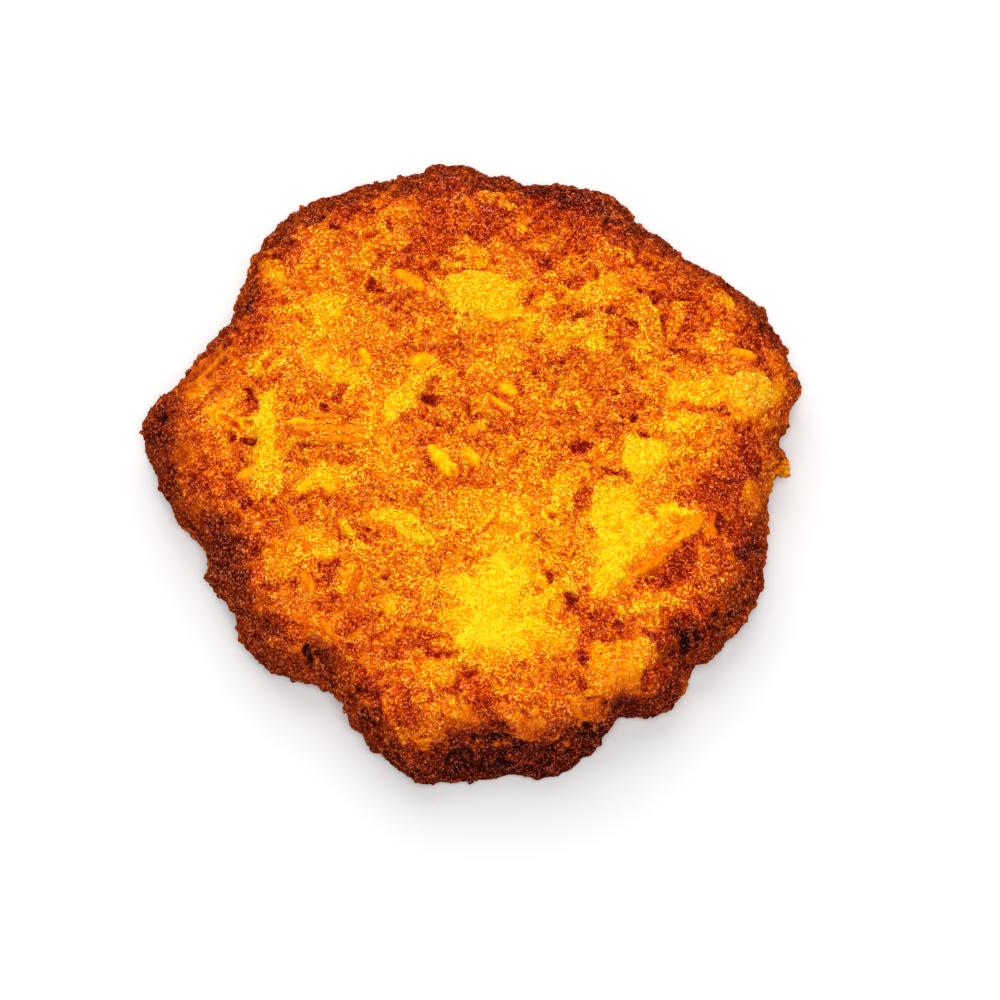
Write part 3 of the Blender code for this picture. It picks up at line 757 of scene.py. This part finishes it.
def dig_pits(surface, relief):
    """Sinks the pits into the relief, and says how dark each point is in them: painted shade."""
    dark = np.zeros(surface.count)
    for x, y, along, across, turn, depth, amount in PITS:
        d = oval_distance(surface.warped, x, y, along * OVAL_SPREAD, across * OVAL_SPREAD, turn)
        relief -= depth * hill(d) * surface.on_top
        dark = np.maximum(dark, amount / 100 * np.clip(1.1 - d, 0, 1) * surface.on_top)
    return dark


# Noises: (wavelength in millimetres, octaves, seed)
UNEVEN_NOISE = (1.9, 3, 11.0)
PORE_NOISE = (2.2, 2, 21.0)
CRAG_NOISE = (3.4, 5, 31.0)
CLOUD_NOISE = (9.0, 3, 3.0)
SEAM_NOISE = (4.5, 2, 90.0)
GRAINS = (1.5, 5.0)  # size and seed
# Relief, in millimetres
PIECE_RELIEF = 1.1
GRAIN_RELIEF = 0.24
GRAIN_MIDDLE = 0.6
UNEVEN_RELIEF = 0.18
PORE_START = 0.46  # noise above this opens a pore
PORE_DEPTH = 1.6
CRAGS = 1.1  # ragged crust on the wall, which is sunk as a whole to keep its outline
CRAGS_SUNK = 0.40
TOP_SUNK_MM = 0.4  # room for the pieces raised on the top
# Browning, with painted shade in the hollows and pores
BASE_TONE = 0.425
AREA_SHARE = 0.60
PIECE_SHARE = 0.42
CLOUDS = 0.06
SEAM_WIDTH_MM = 0.22
SEAM_TONE = 0.30
SEAM_MEAN = 0.02  # taken off everywhere, because the seams brown the whole
# Painted shade: hollows and pores darker, raised bits a little paler
CAVITY_SHADE_TONE = 0.65
CAVITY_LIMITS = (-0.25, 0.35)
PORE_SHADE_TONE = 0.5
TONE_LIMITS = (-0.1, 1.2)


def soft_limit(tone):
    """Browning above about 0.77 grows less than half as fast."""
    return np.minimum(tone, tone * 0.4 + 0.46)


def build_surface(mesh):
    """Raises the relief on the mesh, stores its browning with painted shade and the painted glints, and
    returns the surface.
    """
    surface = Surface(mesh)
    points = surface.points
    mosaic = Mosaic(surface)
    press_random_pieces(mosaic, random.Random(7))
    press_landmarks(mosaic, STRIPS, STRIP_KIND)
    press_landmarks(mosaic, CHIPS, CHIP_KIND, 2)
    press_landmarks(mosaic, WEDGES, WEDGE_KIND)

    areas = area_tone(surface) * surface.on_top
    pale = smoothstep(0.05, 0.3, -areas)
    crumbly = 1 - 0.55 * pale
    relief = neighbour_mean(mesh, mosaic.height, 1) * PIECE_RELIEF
    relief += GRAIN_RELIEF * (cell_domes(surface.warped, *GRAINS) - GRAIN_MIDDLE) * crumbly
    relief += UNEVEN_RELIEF * noise_at(points, *UNEVEN_NOISE)
    pores = np.clip(noise_at(points, *PORE_NOISE) - PORE_START, 0, 1) * crumbly
    relief -= PORE_DEPTH * pores
    pit_shade = dig_pits(surface, relief)
    craggy = CRAGS * noise_at(points, *CRAG_NOISE) - CRAGS_SUNK
    hollow_depth, hollow_shade_and_spot_tone = wall_spots(surface)
    scorch, ledge_depth = rim_band(surface)
    relief += craggy * surface.wall - hollow_depth - ledge_depth
    relief -= TOP_SUNK_MM * surface.on_top

    cavity = neighbour_mean(mesh, relief, 8) - relief
    seam = np.clip(1 - mosaic.margin / SEAM_WIDTH_MM, 0, 1)
    seam *= smoothstep(-0.25, 0.35, noise_at(points, *SEAM_NOISE))
    own = mosaic.sleek > 0
    piece_tone = np.where(own, 0.0, mosaic.tone)
    tone = np.where(own, mosaic.tone, BASE_TONE + AREA_SHARE * areas) + scorch
    tone += CLOUDS * noise_at(points, *CLOUD_NOISE)
    tone += PIECE_SHARE * piece_tone + SEAM_TONE * seam - SEAM_MEAN
    # Painted shade in the hollows and pores, and a little paler on raised bits
    tone += CAVITY_SHADE_TONE * np.clip(cavity, *CAVITY_LIMITS) * crumbly
    tone += PORE_SHADE_TONE * pores
    # The wall's hollows get painted shade here
    tone = soft_limit(tone) + hollow_shade_and_spot_tone
    hidden = smoothstep(0.05, 0.4, cavity + pores + 0.4 * pit_shade)

    moved = points + surface.normals * relief[:, None]
    moved[:, 2] = np.maximum(moved[:, 2], 0.0)
    mesh.vertices.foreach_set("co", (moved * MM).astype(np.float32).ravel())
    mesh.update()
    surface.outside = np.stack([neighbour_mean(mesh, moved[:, axis], 6) for axis in range(3)], axis=1)
    surface.tone = np.clip(tone, *TONE_LIMITS)
    surface.scorch = smoothstep(0.04, 0.38, scorch)
    # The painted glints fade in the hollows, pits and pores, as painted shade
    unshaded_glint_share = (1 - 0.4 * hidden) * (1 - smoothstep(0.4, 1.4, hollow_depth))
    stored = {
        "browning": surface.tone,
        "smoothness": np.maximum(0.45 * pale, mosaic.sleek),
        "patch": 0.7 * areas + 0.35 * piece_tone,
        "pit_shade": pit_shade,
        "scorch": surface.scorch,
        "open_top": (1 - 0.6 * surface.scorch) * surface.on_top * ~own,
        "painted_glint_amount": painted_glints_at(surface) * unshaded_glint_share,
    }
    for name, values in stored.items():
        store(mesh, name, values)
    return surface


# ------------------------------------------------------------------ shreds and crumbs
class Bits:
    """Many small solids gathered in one mesh."""

    def __init__(self):
        self.points = []
        self.faces = []
        self.tones = []
        self.smooth = []
        self.scorch = []
        self.count = 0

    def add(self, points, faces, tones, smooth, scorch):
        self.points.append(points)
        self.faces.append(faces + self.count)
        self.tones.append(tones)
        self.smooth.append(np.full(len(points), smooth))
        self.scorch.append(np.full(len(points), scorch))
        self.count += len(points)

    def mesh(self, name):
        points = np.concatenate(self.points)
        faces = np.concatenate(self.faces)
        mesh = bpy.data.meshes.new(name)
        mesh.vertices.add(len(points))
        mesh.vertices.foreach_set("co", (points * MM).astype(np.float32).ravel())
        mesh.loops.add(3 * len(faces))
        mesh.loops.foreach_set("vertex_index", faces.astype(np.int32).ravel())
        mesh.polygons.add(len(faces))
        mesh.polygons.foreach_set("loop_start", np.arange(0, 3 * len(faces), 3, dtype=np.int32))
        mesh.update(calc_edges=True)
        mesh.validate()
        store(mesh, "browning", np.clip(np.concatenate(self.tones), *TONE_LIMITS))
        store(mesh, "smoothness", np.concatenate(self.smooth))
        store(mesh, "scorch", np.concatenate(self.scorch))
        # Plain painted glints on the shreds and crumbs
        store(mesh, "painted_glint_amount", np.full(self.count, PLAIN_PAINTED_GLINT))
        for absent in ("patch", "pit_shade", "open_top"):
            store(mesh, absent, np.zeros(self.count))
        return mesh


def ball(subdivisions):
    """Points and triangles of a unit ball."""
    bm = bmesh.new()
    bmesh.ops.create_icosphere(bm, subdivisions=subdivisions, radius=1.0)
    points = np.array([v.co[:] for v in bm.verts])
    faces = np.array([[v.index for v in f.verts] for f in bm.faces])
    bm.free()
    return points, faces


RING = 8  # points round a shred
STRIP_STEP_MM = 0.9
ABOVE_FLOOR_MM = 0.02
SMOOTHING = np.array([0.25, 0.5, 0.25])


def tube_faces(rings):
    """Triangles of a closed tube whose first and last points are its two tips."""
    faces = []
    for r in range(rings - 1):
        for k in range(RING):
            a = 1 + r * RING + k
            b = 1 + r * RING + (k + 1) % RING
            faces += [(a, b, b + RING), (a, b + RING, a + RING)]
    last = 1 + rings * RING
    for k in range(RING):
        faces.append((0, 1 + (k + 1) % RING, 1 + k))
        faces.append((last, last - RING + k, last - RING + (k + 1) % RING))
    return np.array(faces)


def surface_tree(surface):
    tree = kdtree.KDTree(surface.count)
    for i, p in enumerate(surface.outside):
        tree.insert(p, i)
    tree.balance()
    return tree


def lay_strip(bits, surface, tree, start, along, size, sink, tone, smooth, chance):
    """A shred that follows the surface from its middle, partly sunk in the crust."""
    length, width, thick = size
    rings = max(4, round(length / STRIP_STEP_MM))
    step = length / rings
    at = surface.outside[tree.find(start)[1]] - along * (length / 2)
    centres, normals = [], []
    for _ in range(rings + 2):
        index = tree.find(at)[1]
        normal = surface.normals[index]
        centres.append(surface.outside[index])
        normals.append(normal)
        along = along - along @ normal * normal
        along /= np.linalg.norm(along)
        at = centres[-1] + along * step
    centres, normals = np.array(centres), np.array(normals)
    for _ in range(4):
        for axis in range(3):
            centres[1:-1, axis] = np.convolve(centres[:, axis], SMOOTHING, "valid")
            normals[1:-1, axis] = np.convolve(normals[:, axis], SMOOTHING, "valid")
    normals /= np.linalg.norm(normals, axis=1)[:, None]
    tangents = np.gradient(centres, axis=0)
    tangents /= np.maximum(np.linalg.norm(tangents, axis=1), 1e-6)[:, None]
    across = np.cross(normals, tangents)
    s = np.linspace(-1, 1, rings + 2)
    taper = 1 + chance.uniform(-0.35, 0.35) * s
    plump = (1 - np.abs(s) ** chance.uniform(2.5, 7)) ** 0.6 * taper
    raised = (0.5 - sink) * thick + chance.uniform(-0.12, 0.12) * s
    skew = chance.uniform(-0.5, 0.5) * width
    turn = np.arange(RING) * 2 * math.pi / RING + math.pi / RING
    side = np.sign(np.cos(turn)) * np.abs(np.cos(turn)) ** 0.6
    height = np.sign(np.sin(turn)) * np.abs(np.sin(turn)) ** 0.45
    points, tones = [centres[0] + normals[0] * raised[0]], [tone + 0.1]
    for r in range(1, rings + 1):
        middle = centres[r] + normals[r] * raised[r]
        ring = middle + np.outer(side, across[r] * width / 2 * plump[r] + tangents[r] * skew)
        ring = ring + np.outer(height, normals[r]) * thick / 2 * plump[r]
        points.extend(ring)
        tones.extend(tone + 0.14 * (height < 0.6) + chance.gauss(0, 0.04))
    points.append(centres[-1] + normals[-1] * raised[-1])
    tones.append(tone + 0.1)
    points = np.array(points)
    points[:, 2] = np.maximum(points[:, 2], ABOVE_FLOOR_MM)
    scorch = surface.scorch[tree.find(start)[1]]
    bits.add(points, tube_faces(rings), np.array(tones), smooth, scorch)


LOOSE_SHREDS = 22
RIM_SHREDS = 50
RIM_SHREDS_MM = 4.5  # how far from the rim they lie
# Shreds with a place of their own: (x, y, length, width, turn, browning)
SHREDS = [
    (27.6, -17.6, 7, 0.9, 36, 42), (31.4, -12.6, 8, 0.9, 33, 28), (-40.6, 12.6, 5, 0.8, 45, 40),
    (-21.4, 3.8, 7, 0.7, -2, 36), (-19, 0.6, 8, 0.7, 1, 42),
]


def add_shreds(surface, tree, material):
    """The shreds with places of their own, then loose ones on the top and round the rim."""
    chance = random.Random(23)
    bits = Bits()
    for x, y, length, width, turn, tone in SHREDS:
        start = np.array([x, y, TOP_MM])
        along = level_direction(turn)
        lay_strip(bits, surface, tree, start, along, (length, width, 0.5), 0.62, tone / 100, 0.6, chance)
    laid = 0
    while laid < LOOSE_SHREDS + RIM_SHREDS:
        at = chance.randrange(surface.count)
        on_rim = laid >= LOOSE_SHREDS
        normal = surface.normals[at]
        if on_rim != (surface.rim_distance[at] < RIM_SHREDS_MM) or normal[2] < -0.5:
            continue
        along = random_direction(chance, normal)
        length = chance.uniform(2.5, 6.0)
        size = (length, chance.uniform(0.7, 1.6), chance.uniform(0.3, 0.55))
        sink = chance.uniform(0.6, 0.85)
        tone = surface.tone[at] * 0.9 + chance.gauss(0.02, 0.06)
        lay_strip(bits, surface, tree, surface.outside[at], along, size, sink, tone, 0.35, chance)
        laid += 1
    add_piece("potato_shreds", bits.mesh("potato_shreds"), material)


SMALL_CRUMBS = 3600
LARGE_CRUMBS = 240
RIM_CRUMBS_MM = 4  # how far from the rim the large ones lie
# Crumbs with a place of their own, sat on the nearest crust: (x, y, z, radius, browning)
OWN_CRUMBS = [
    (47.4, -1.2, 6, 1.7, 32), (-5.8, 44.6, 11, 0.8, 62), (-8.2, 44, 11, 0.7, 58),
    (-30.6, 29.6, 11.6, 0.5, 20), (-33.6, 29.2, 8, 0.45, 60), (-34.2, 27.8, 8, 0.35, 60),
    (-37.6, -16.4, 6, 0.9, 52), (-39, -13.6, 5, 0.8, 56), (15.2, -46, 8.6, 0.9, 56),
    (4.2, -45.8, 10.6, 0.8, 60),
]


def add_crumb(bits, shape, centre, size, tone, scorch, chance):
    """A small lump of crust, squashed and dented at random."""
    points, faces = shape
    spin = np.array([[chance.gauss(0, 1) for _ in range(3)] for _ in range(3)])
    spin, _ = np.linalg.qr(spin)
    stretch = np.array([1.0, chance.uniform(0.6, 1.0), chance.uniform(0.45, 0.8)])
    shifted = [Vector(p) * 1.7 + Vector((chance.random(),) * 3) for p in points]
    dents = np.array([noise.noise(p) for p in shifted])
    lumps = 1 + 0.5 * dents + 0.12 * np.array([chance.uniform(-1, 1) for _ in range(len(points))])
    body = (points * lumps[:, None] * stretch * size) @ spin.T + centre
    body[:, 2] = np.maximum(body[:, 2], ABOVE_FLOOR_MM)
    bits.add(body, faces, np.full(len(points), tone), 0.0, scorch)


def add_crumbs(surface, tree, material):
    """The crumbs with places of their own, then large ones near the rim, then small ones."""
    chance = random.Random(41)
    bits = Bits()
    small, medium, large = ball(1), ball(2), ball(3)
    for x, y, z, radius, tone in OWN_CRUMBS:
        at = tree.find((x, y, z))[1]
        centre = surface.outside[at] - surface.normals[at] * radius * 0.35
        add_crumb(bits, large, centre, radius, tone / 100, 0.6, chance)
    placed = 0
    while placed < SMALL_CRUMBS + LARGE_CRUMBS:
        at = chance.randrange(surface.count)
        is_large = placed < LARGE_CRUMBS
        normal = surface.normals[at]
        near_rim = surface.rim_distance[at] < RIM_CRUMBS_MM
        likely = 0.12 + 0.35 * near_rim + 0.35 * (surface.tone[at] > 0.6)
        if is_large and not near_rim:
            continue
        if normal[2] < -0.6 or chance.random() > likely:
            continue
        size = chance.uniform(0.4, 0.85) if is_large else chance.uniform(0.16, 0.38)
        centre = surface.outside[at] + normal * size * chance.uniform(-0.55, 0.0)
        tone = surface.tone[at] + chance.gauss(-0.05, 0.10) - 0.06 * near_rim
        shape = medium if is_large else small
        add_crumb(bits, shape, centre, size, tone, surface.scorch[at], chance)
        placed += 1
    add_piece("crust_crumbs", bits.mesh("crust_crumbs"), material)


# ------------------------------------------------------------------ material
# Colour as the crust browns: (browning, red, green, blue), linear. The middle of the cake
# goes deep red where it is dark, and the scorched rim goes a duller brown.
CRUST_RAMP = [
    (0.0, 0.9, 0.6, 0.005),
    (0.1, 0.87, 0.47, 0.0005),
    (0.2, 0.86, 0.345, 0.0005),
    (0.31, 0.84, 0.235, 0.0005),
    (0.43, 0.8, 0.155, 0.0005),
    (0.55, 0.74, 0.098, 0.0005),
    (0.66, 0.63, 0.058, 0.0005),
    (0.77, 0.49, 0.033, 0.0005),
    (0.88, 0.34, 0.016, 0.0005),
    (1.0, 0.18, 0.006, 0.0005),
]
SCORCHED_RAMP = [
    (0.0, 0.87, 0.56, 0.008),
    (0.1, 0.84, 0.44, 0.005),
    (0.2, 0.81, 0.32, 0.003),
    (0.31, 0.77, 0.222, 0.002),
    (0.43, 0.69, 0.142, 0.0015),
    (0.55, 0.58, 0.088, 0.0012),
    (0.66, 0.435, 0.051, 0.0011),
    (0.77, 0.29, 0.026, 0.001),
    (0.88, 0.17, 0.0115, 0.001),
    (1.0, 0.034, 0.0022, 0.0006),
]
# Browning that each pattern adds, with painted shade in the creases: below 0 it makes the crust paler
FINE_TONE = -0.28
PATCHY_TONE = 0.15
CREASE_SHADE_TONE = 0.26
CREASE_MEAN = 0.18
CRINKLE_TONE = -0.13
BROWN_PATCH_TONE = 0.17
PALE_PATCH_TONE = -0.06
PATCH_OUTLINE_TONE = 0.11
PATCH_MEAN = -0.03
PIT_SHADE_TONE = 0.62
# Curly crinkles follow the contours of a soft noise: how fast they repeat, in radians
CRINKLE_TURNS = 26.0
PATCH_WANDER_MM = 3.0
# Painted glints: thin curly lines are paler than the crust under them, and a little white is added to
# them as a painted highlight
PAINTED_GLINT_PALER = 0.26
PAINTED_HIGHLIGHT_WHITE = (0.08, 0.09, 0.09)


def patch_field(n, place):
    """A broad noise with wandering outlines, moved up and down by the patches stored on the mesh."""
    wander = n.add("ShaderNodeVectorMath", operation="MULTIPLY_ADD")
    wander.inputs[1].default_value = (PATCH_WANDER_MM * MM,) * 3
    n.feed(wander, (0, 2), (n.noise(place, "wander", "Color"), place))
    return n.math("ADD", n.noise(wander.outputs[0], "patches"), n.attribute("patch"))


def patch_tone(n, field, brown_patch):
    """Browning of the brown and pale patches and of the thin outlines round the brown ones."""
    pale_patch = n.one_less(n.smooth_range(field, 0.40, 0.45))
    from_outline = n.math("ABSOLUTE", n.math("SUBTRACT", field, 0.56))
    outline = n.one_less(n.smooth_range(from_outline, 0.0, 0.016))
    tone = n.times(brown_patch, BROWN_PATCH_TONE, PATCH_MEAN)
    tone = n.times(pale_patch, PALE_PATCH_TONE, tone)
    tone = n.times(outline, PATCH_OUTLINE_TONE, tone)
    return n.times(tone, n.attribute("open_top"))


def muted_by(n, place, grainy):
    """How strongly the speckle shows: less on sleek pieces, in the scorch and in some places."""
    crumbly = n.smooth_range(n.noise(place, "crumbly"), 0.43, 0.57)
    muted = n.times(grainy, n.times(n.attribute("scorch"), -0.45, 1.0))
    return n.times(muted, n.times(crumbly, 0.50, 0.72))


def crust_material():
    """Turns the browning stored on the mesh into the colours and the grain of fried crust."""
    material = bpy.data.materials.new("fried_crust")
    n = Nodes(material)
    place = n.add("ShaderNodeTexCoord").outputs["Object"]
    grainy = n.one_less(n.attribute("smoothness"))
    fine = n.noise(place, "fine")
    patchy = n.noise(place, "patchy")
    crease = n.one_less(n.smooth_range(n.ridge(n.noise(place, "creases")), 0.0, 0.15))
    contours = n.times(n.noise(place, "contours"), CRINKLE_TURNS)
    crinkle = n.math("SINE", contours)
    field = patch_field(n, place)
    brown_patch = n.smooth_range(field, 0.565, 0.615)

    speckle = n.times(n.less_half(fine), FINE_TONE)
    speckle = n.times(n.less_half(patchy), PATCHY_TONE, speckle)
    # Painted shade with browning darkens the creases
    speckle = n.times(n.math("SUBTRACT", crease, CREASE_MEAN), CREASE_SHADE_TONE, speckle)
    speckle = n.times(crinkle, CRINKLE_TONE, speckle)
    toned = n.math("ADD", n.attribute("browning"), patch_tone(n, field, brown_patch))
    # Painted shade deepens the pits
    pit_shade = n.times(n.less_half(patchy), 0.24, n.attribute("pit_shade"))
    deepened = n.times(pit_shade, PIT_SHADE_TONE, 0.08)
    toned = n.times(n.smooth_range(pit_shade, 0.08, 0.12), deepened, toned)

    # Painted glints along the crests of the curly crinkles, fewer in the hollows
    line = n.smooth_range(crinkle, 0.35, 1.0)
    peak = n.smooth_range(n.noise(place, "peaks"), 0.42, 0.60)
    painted_glint = n.times(n.times(line, peak), n.attribute("painted_glint_amount"))
    painted_glint = n.times(painted_glint, grainy)
    level = n.times(speckle, muted_by(n, place, grainy), toned)
    level = n.times(painted_glint, -PAINTED_GLINT_PALER, level)
    color = n.add("ShaderNodeMix", data_type="RGBA")
    ramps = (n.ramp(level, CRUST_RAMP), n.ramp(level, SCORCHED_RAMP))
    n.feed(color, (0, 6, 7), (n.attribute("scorch"), *ramps))

    # The painted highlight: a little white added on the glints
    painted_highlight = n.add("ShaderNodeVectorMath", operation="MULTIPLY_ADD")
    painted_highlight.inputs[1].default_value = PAINTED_HIGHLIGHT_WHITE
    n.feed(painted_highlight, (0, 2), (painted_glint, color.outputs[2]))
    shader = n.tree.nodes["Principled BSDF"]
    n.link(painted_highlight.outputs[0], shader.inputs["Base Color"])
    put(shader, Roughness=0.5, Specular_IOR_Level=0.0)

    height = n.times(fine, 0.35, n.times(crease, -0.45))
    height = n.times(brown_patch, -0.35, height)
    bump = n.add("ShaderNodeBump")
    put(bump, Strength=0.8, Distance=0.4 * MM)
    n.link(n.times(height, grainy), bump.inputs["Height"])
    n.link(bump.outputs["Normal"], shader.inputs["Normal"])
    return material


def add_piece(name, mesh, material):
    mesh.materials.append(material)
    mesh.shade_smooth()
    piece = bpy.data.objects.new(name, mesh)
    bpy.context.scene.collection.objects.link(piece)
    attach(piece, "root")
    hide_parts("rosti")
    print(name, "triangles", sum(len(p.vertices) - 2 for p in mesh.polygons))


def add_cake(material):
    mesh = fine_copy(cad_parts["rosti"])
    surface = build_surface(mesh)
    add_piece("fried_cake", mesh, material)
    return surface


set_studio()
crust = crust_material()
cake_surface = add_cake(crust)
cake_tree = surface_tree(cake_surface)
add_shreds(cake_surface, cake_tree, crust)
add_crumbs(cake_surface, cake_tree, crust)
